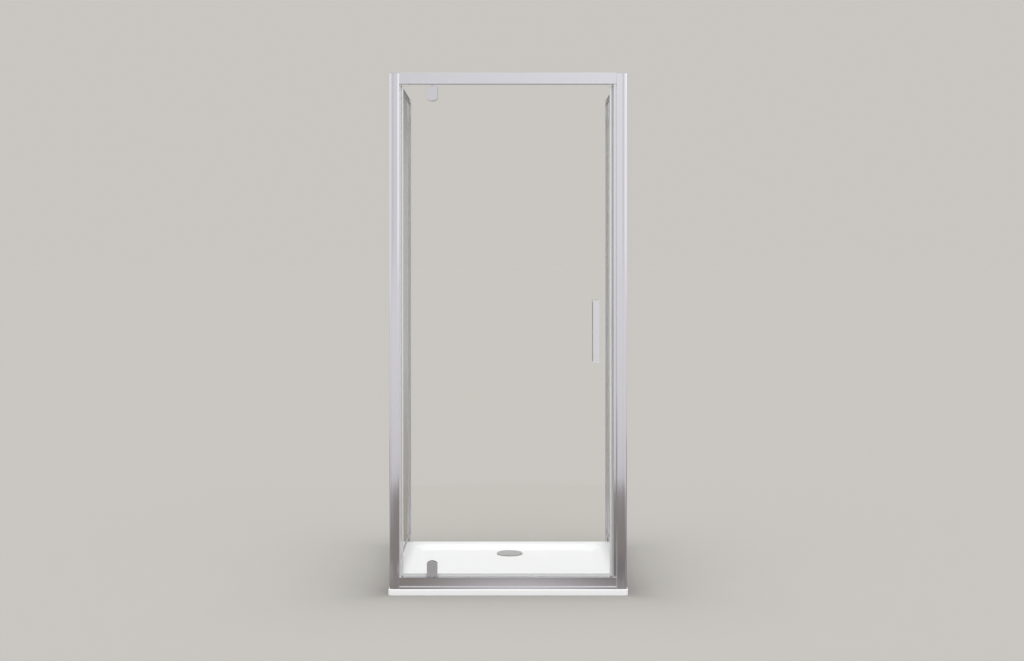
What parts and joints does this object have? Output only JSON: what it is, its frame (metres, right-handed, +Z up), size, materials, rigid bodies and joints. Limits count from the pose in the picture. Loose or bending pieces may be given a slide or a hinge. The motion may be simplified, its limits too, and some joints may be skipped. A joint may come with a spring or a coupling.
{
  "type": "pivot shower door",
  "caption": "Framed glass pivot door set in a square shower enclosure: glass side panels, low white tray with a round waste cover, and a bar handle.",
  "frame": {"origin": "centre of the tray's underside", "axes": "+X to the right of a person facing the door from outside, +Y back to the wall, +Z up; the door's outside faces -Y"},
  "size_m": [0.9, 0.916, 1.961],
  "materials": {
    "white_tray": "gloss",
    "polished_aluminium": "polished",
    "chrome_fittings": "polished",
    "clear_glass": "clear",
    "grey_gasket": "matte",
    "soft_seal": "translucent",
    "magnetic_strip": "satin",
    "nylon": "matte",
    "stainless_screws": "satin",
    "cap_plastic": "satin",
    "waste_grey": "satin"
  },
  "bodies": {
    "enclosure": {"shower_tray": "white_tray", "waste_seal": "grey_gasket", "waste_flange": "chrome_fittings", "header_rail": "polished_aluminium", "threshold_rail": "polished_aluminium", "frame_screws": "stainless_screws", "jamb_screws": "stainless_screws", "jamb_seal_strip": "soft_seal", "strike_profile": "polished_aluminium", "strike_magnet": "magnetic_strip", "top_pivot_bush": "nylon", "bottom_pivot_bush": "nylon", "corner_post_left": "polished_aluminium", "door_jamb_left": "polished_aluminium", "post_cap_left": "cap_plastic", "panel_front_stile_left": "polished_aluminium", "panel_rear_stile_left": "polished_aluminium", "panel_top_rail_left": "polished_aluminium", "panel_bottom_rail_left": "polished_aluminium", "side_glass_left": "clear_glass", "glazing_gasket_left": "grey_gasket", "wall_channel_left": "polished_aluminium", "panel_screws_left": "stainless_screws", "corner_post_right": "polished_aluminium", "door_jamb_right": "polished_aluminium", "post_cap_right": "cap_plastic", "panel_front_stile_right": "polished_aluminium", "panel_rear_stile_right": "polished_aluminium", "panel_top_rail_right": "polished_aluminium", "panel_bottom_rail_right": "polished_aluminium", "side_glass_right": "clear_glass", "glazing_gasket_right": "grey_gasket", "wall_channel_right": "polished_aluminium", "panel_screws_right": "stainless_screws"},
    "door": {"door_glass": "clear_glass", "door_hinge_seal": "soft_seal", "door_closing_profile": "soft_seal", "door_magnet": "magnetic_strip", "door_bottom_seal": "soft_seal", "top_pivot_pin": "stainless_screws", "bottom_pivot_pin": "stainless_screws", "top_clamp_outer": "chrome_fittings", "top_clamp_inner": "chrome_fittings", "top_clamp_gaskets": "grey_gasket", "bottom_clamp_outer": "chrome_fittings", "bottom_clamp_inner": "chrome_fittings", "bottom_clamp_gaskets": "grey_gasket", "clamp_screws": "stainless_screws", "handle_outer_grip": "chrome_fittings", "handle_outer_top_bracket": "chrome_fittings", "handle_outer_bottom_bracket": "chrome_fittings", "handle_inner_grip": "chrome_fittings", "handle_inner_top_bracket": "chrome_fittings", "handle_inner_bottom_bracket": "chrome_fittings", "handle_studs": "stainless_screws", "handle_washers": "grey_gasket"},
    "waste_lid": {"waste_cover": "waste_grey"}
  },
  "joints": [
    {"name": "door_swing", "type": "hinge", "parent": "enclosure", "child": "door", "pos_m": [-0.286, -0.427, 1.022], "axis": [0, 0, -1], "range_deg": [0, 90]},
    {"name": "waste_cover_lift", "type": "slide", "parent": "enclosure", "child": "waste_lid", "axis": [0, 0, 1], "range_m": [0, 0.06]}
  ]
}
